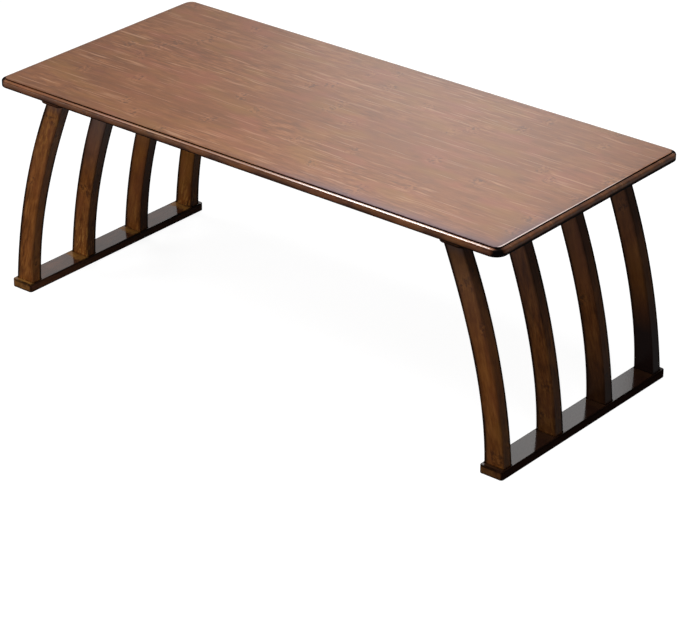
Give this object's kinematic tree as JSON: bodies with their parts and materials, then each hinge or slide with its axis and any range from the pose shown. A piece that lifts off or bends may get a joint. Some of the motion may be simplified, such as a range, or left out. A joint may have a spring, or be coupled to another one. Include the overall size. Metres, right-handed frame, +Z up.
{
  "type": "chabudai folding low table",
  "caption": "Low rectangular bamboo table with a raised-panel top on two end frames of curved slats that fold inward under the top.",
  "frame": {"origin": "on the floor under the middle of the table, at the middle of the overall box's base", "axes": "+X along the top's long sides towards the right end, +Y from the front long side to the back one, +Z up"},
  "size_m": [0.8092, 0.37, 0.3043],
  "materials": {
    "bamboo_top": "walnut stained strip bamboo, satin lacquer",
    "bamboo_frame": "dark walnut stained bamboo, satin lacquer",
    "plated_steel": "antique bronze plated",
    "screw_steel": "antique bronze plated",
    "rubber_pad": "matt"
  },
  "bodies": {
    "top": {"left_batten_screws": "screw_steel", "left_front_hinge_pin": "plated_steel", "left_front_hinge_table_leaf": "plated_steel", "left_hinge_batten": "bamboo_frame", "left_hinge_table_screws": "screw_steel", "left_rear_hinge_pin": "plated_steel", "left_rear_hinge_table_leaf": "plated_steel", "left_stay_bracket": "plated_steel", "left_stay_bracket_screws": "screw_steel", "left_stay_pivot_rivet": "plated_steel", "right_batten_screws": "screw_steel", "right_front_hinge_pin": "plated_steel", "right_front_hinge_table_leaf": "plated_steel", "right_hinge_batten": "bamboo_frame", "right_hinge_table_screws": "screw_steel", "right_rear_hinge_pin": "plated_steel", "right_rear_hinge_table_leaf": "plated_steel", "right_stay_bracket": "plated_steel", "right_stay_bracket_screws": "screw_steel", "right_stay_pivot_rivet": "plated_steel", "tabletop": "bamboo_top"},
    "left_frame": {"left_foot_pads": "rubber_pad", "left_foot_rail": "bamboo_frame", "left_foot_rail_screws": "screw_steel", "left_front_hinge_frame_leaf": "plated_steel", "left_hinge_frame_screws": "screw_steel", "left_leg_1": "bamboo_frame", "left_leg_2": "bamboo_frame", "left_leg_3": "bamboo_frame", "left_leg_4": "bamboo_frame", "left_rear_hinge_frame_leaf": "plated_steel", "left_stay_leg_screw": "screw_steel", "left_top_rail": "bamboo_frame", "left_top_rail_screws": "screw_steel"},
    "right_frame": {"right_foot_pads": "rubber_pad", "right_foot_rail": "bamboo_frame", "right_foot_rail_screws": "screw_steel", "right_front_hinge_frame_leaf": "plated_steel", "right_hinge_frame_screws": "screw_steel", "right_leg_1": "bamboo_frame", "right_leg_2": "bamboo_frame", "right_leg_3": "bamboo_frame", "right_leg_4": "bamboo_frame", "right_rear_hinge_frame_leaf": "plated_steel", "right_stay_leg_screw": "screw_steel", "right_top_rail": "bamboo_frame", "right_top_rail_screws": "screw_steel"},
    "left_crank": {"left_stay_crank": "plated_steel", "left_stay_knee_rivet": "plated_steel"},
    "right_crank": {"right_stay_crank": "plated_steel", "right_stay_knee_rivet": "plated_steel"},
    "left_arm": {"left_stay_arm": "plated_steel", "left_stay_knee_cap": "plated_steel"},
    "right_arm": {"right_stay_arm": "plated_steel", "right_stay_knee_cap": "plated_steel"}
  },
  "joints": [
    {"name": "right_fold", "type": "hinge", "parent": "top", "child": "right_frame", "pos_m": [0.3012, 0, 0.2787], "axis": [0, 1, 0], "range_deg": [0, 106.5]},
    {"name": "right_crank_pivot", "type": "hinge", "parent": "top", "child": "right_crank", "pos_m": [0.235, 0, 0.28], "axis": [0, 1, 0], "range_deg": [0, 156.1]},
    {"name": "right_arm_pivot", "type": "hinge", "parent": "right_frame", "child": "right_arm", "pos_m": [0.33125, 0, 0.252], "axis": [0, 1, 0], "range_deg": [-107.2, 0]},
    {"name": "left_fold", "type": "hinge", "parent": "top", "child": "left_frame", "pos_m": [-0.3012, 0, 0.2787], "axis": [0, -1, 0], "range_deg": [0, 106.5]},
    {"name": "left_crank_pivot", "type": "hinge", "parent": "top", "child": "left_crank", "pos_m": [-0.235, 0, 0.28], "axis": [0, -1, 0], "range_deg": [0, 156.1]},
    {"name": "left_arm_pivot", "type": "hinge", "parent": "left_frame", "child": "left_arm", "pos_m": [-0.33125, 0, 0.252], "axis": [0, -1, 0], "range_deg": [-107.2, 0]}
  ],
  "couplings": [
    {"joint": "right_crank_pivot", "follows": "right_fold", "ratio": 1.4652},
    {"joint": "right_arm_pivot", "follows": "right_fold", "ratio": -1.0058},
    {"joint": "left_crank_pivot", "follows": "left_fold", "ratio": 1.4652},
    {"joint": "left_arm_pivot", "follows": "left_fold", "ratio": -1.0058}
  ]
}
